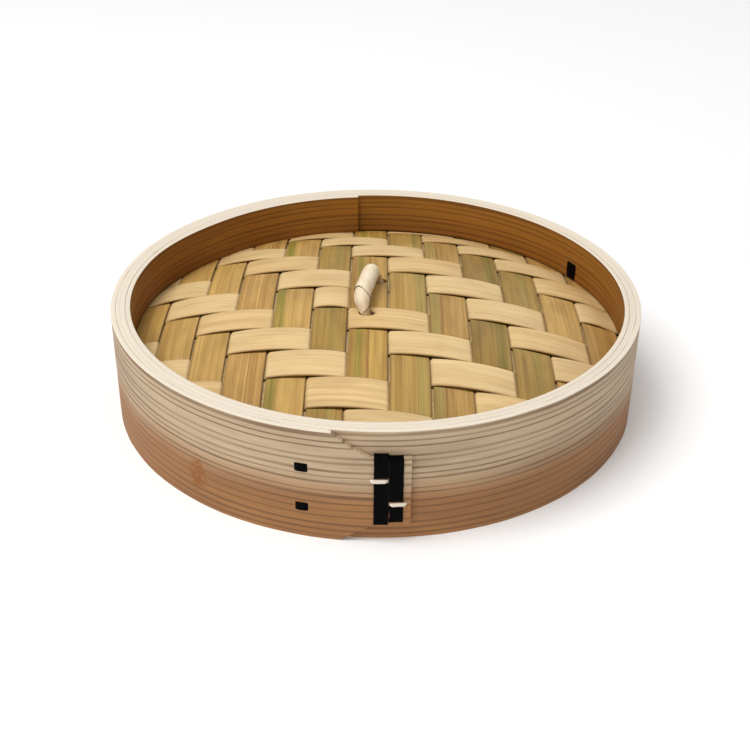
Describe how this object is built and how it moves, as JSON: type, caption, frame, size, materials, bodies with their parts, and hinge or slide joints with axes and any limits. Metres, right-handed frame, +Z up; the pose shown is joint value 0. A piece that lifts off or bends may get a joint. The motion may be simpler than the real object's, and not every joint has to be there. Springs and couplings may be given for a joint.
{
  "type": "bamboo steamer lid",
  "caption": "Round woven lid of a bamboo steamer: bent board wall, domed bamboo twill panel and a leaning cane loop handle.",
  "frame": {"origin": "centre of the socket's mouth, on the plane of the lower rim", "axes": "+Z up through the middle of the lid, -Y to the front, where the bark lashing is"},
  "size_m": [0.1799, 0.1814, 0.0443],
  "materials": {
    "outer_board": "bare planed cedar, pale edge and red-brown heart",
    "inner_board": "bare planed cedar, golden brown",
    "warp_bamboo": "bare split bamboo, tan to olive green skin",
    "weft_bamboo": "bare split bamboo, pale straw",
    "under_bamboo": "bare split bamboo",
    "leaf": "dry bamboo leaf",
    "rib_bamboo": "bare split bamboo",
    "bark": "black cherry bark, slight gloss",
    "cane": "bare cane"
  },
  "bodies": {
    "lid": {"inner_hoop": "inner_board", "lashing_left": "bark", "lashing_right": "bark", "leaf_lining": "leaf", "outer_hoop": "outer_board", "retaining_ring": "inner_board", "rib_lower": "rib_bamboo", "rib_upper": "rib_bamboo", "stitch_front_lower": "bark", "stitch_front_upper": "bark", "stitch_ring_left": "bark", "stitch_ring_right": "bark", "support_ring": "inner_board", "under_warps": "under_bamboo", "under_wefts": "under_bamboo", "warp_strip_01": "warp_bamboo", "warp_strip_02": "warp_bamboo", "warp_strip_03": "warp_bamboo", "warp_strip_04": "warp_bamboo", "warp_strip_05": "warp_bamboo", "warp_strip_06": "warp_bamboo", "warp_strip_07": "warp_bamboo", "warp_strip_08": "warp_bamboo", "warp_strip_09": "warp_bamboo", "warp_strip_10": "warp_bamboo", "warp_strip_11": "warp_bamboo", "warp_strip_12": "warp_bamboo", "warp_strip_13": "warp_bamboo", "weft_strip_01": "weft_bamboo", "weft_strip_02": "weft_bamboo", "weft_strip_03": "weft_bamboo", "weft_strip_04": "weft_bamboo", "weft_strip_05": "weft_bamboo", "weft_strip_06": "weft_bamboo", "weft_strip_07": "weft_bamboo", "weft_strip_08": "weft_bamboo", "weft_strip_09": "weft_bamboo", "weft_strip_10": "weft_bamboo", "weft_strip_11": "weft_bamboo", "weft_strip_12": "weft_bamboo", "weft_strip_13": "weft_bamboo"},
    "handle": {"handle_core": "cane", "handle_knot_back": "cane", "handle_knot_front": "cane", "handle_wrap_back": "cane", "handle_wrap_front": "cane"}
  },
  "joints": [
    {"name": "handle_tilt", "type": "hinge", "parent": "lid", "child": "handle", "pos_m": [-0.0013, 0.0007, 0.03347], "axis": [0.1736, 0.9848, 0], "range_deg": [-9, 51]}
  ]
}
